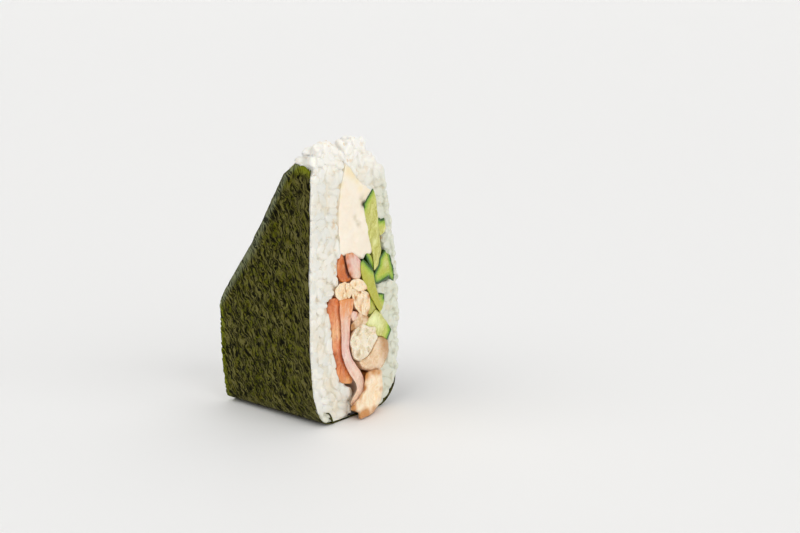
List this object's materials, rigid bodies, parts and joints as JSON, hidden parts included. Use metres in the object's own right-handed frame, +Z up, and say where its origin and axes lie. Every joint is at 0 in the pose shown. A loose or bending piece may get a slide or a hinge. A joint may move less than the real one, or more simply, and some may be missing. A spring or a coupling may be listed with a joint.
{
  "type": "onigiri half",
  "caption": "Half of a triangular rice ball wrapped in seaweed, cut upright to show chicken, bacon, cucumber and cream cheese inside.",
  "frame": {"origin": "on the surface it stands on, under the middle of the bounding box", "axes": "+Z up to the cut corner of the triangle; -Y out of the cut face; +X across the layers, from the front side of the seaweed to the back one"},
  "size_m": [0.0442, 0.0516, 0.0946],
  "materials": {
    "nori": "dry pressed seaweed, slightly leathery, satin",
    "rice": "cooked pressed rice, moist satin",
    "cream_cheese": "soft cheese, smooth satin",
    "cucumber": "fresh cut, wet satin",
    "bacon": "cooked, moist satin",
    "bacon_edge": "smoked edge, moist satin",
    "chicken": "cooked meat, moist satin",
    "chicken_breast": "cooked meat, fibrous matte",
    "chicken_browned": "glazed cooked meat, satin"
  },
  "bodies": {
    "root": {"bacon_1": "bacon_edge", "bacon_2": "bacon", "bacon_3": "bacon_edge", "bacon_4": "bacon", "bacon_5": "bacon", "chicken_1": "chicken", "chicken_2": "chicken", "chicken_3": "chicken", "chicken_4": "chicken", "chicken_5": "chicken_browned", "chicken_6": "chicken_breast", "chicken_7": "chicken_browned", "chicken_8": "chicken", "cream_cheese": "cream_cheese", "cucumber_1": "cucumber", "cucumber_2": "cucumber", "cucumber_3": "cucumber", "cucumber_4": "cucumber", "cucumber_5": "cucumber", "cucumber_6": "cucumber", "cucumber_7": "cucumber", "cucumber_8": "cucumber", "cucumber_9": "cucumber", "nori_wrap": "nori", "rice_back": "rice", "rice_front": "rice"}
  },
  "joints": []
}
